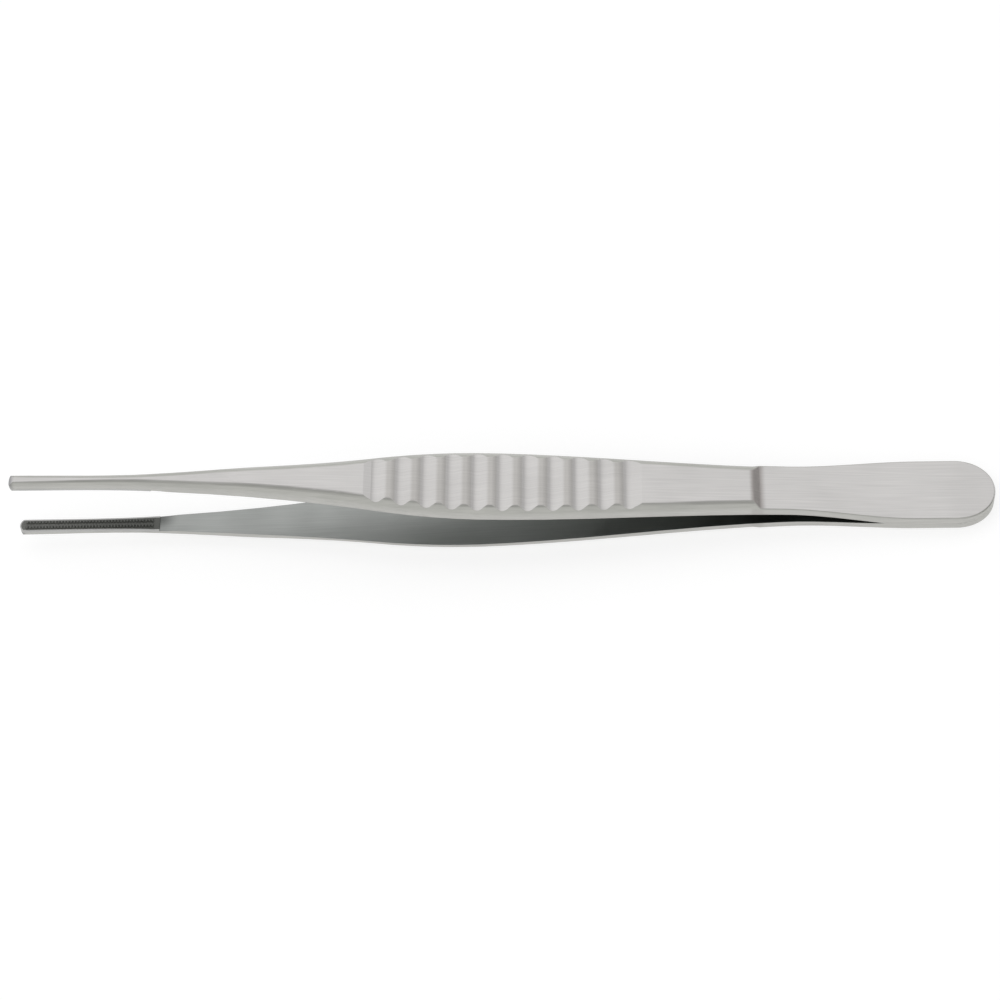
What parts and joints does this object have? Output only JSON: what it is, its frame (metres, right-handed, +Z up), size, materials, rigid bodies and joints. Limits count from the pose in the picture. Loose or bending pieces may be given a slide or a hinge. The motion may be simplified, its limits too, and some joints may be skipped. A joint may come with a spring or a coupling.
{
  "type": "thumb forceps",
  "caption": "Thumb forceps with two bowed spring arms joined at a rounded butt, ribbed grips and slim jaws with dark toothed inserts, for holding fine tissue.",
  "frame": {"origin": "on the surface that the forceps lies on, under the centre of its bounding box, with the ribs of the lower grip and the edge of the butt on that surface", "axes": "+X from the jaw tips to the butt, +Y across the arms, +Z up from the lower arm to the upper arm"},
  "size_m": [0.2002, 0.0156, 0.0216],
  "materials": {
    "satin_steel": "satin stainless steel, finely blasted and brushed",
    "dark_hard_metal": "dark sintered hard metal with fine ground teeth"
  },
  "bodies": {
    "root": {"upper_arm": "satin_steel", "lower_arm": "satin_steel", "upper_jaw_insert": "dark_hard_metal", "lower_jaw_insert": "dark_hard_metal"}
  },
  "joints": []
}
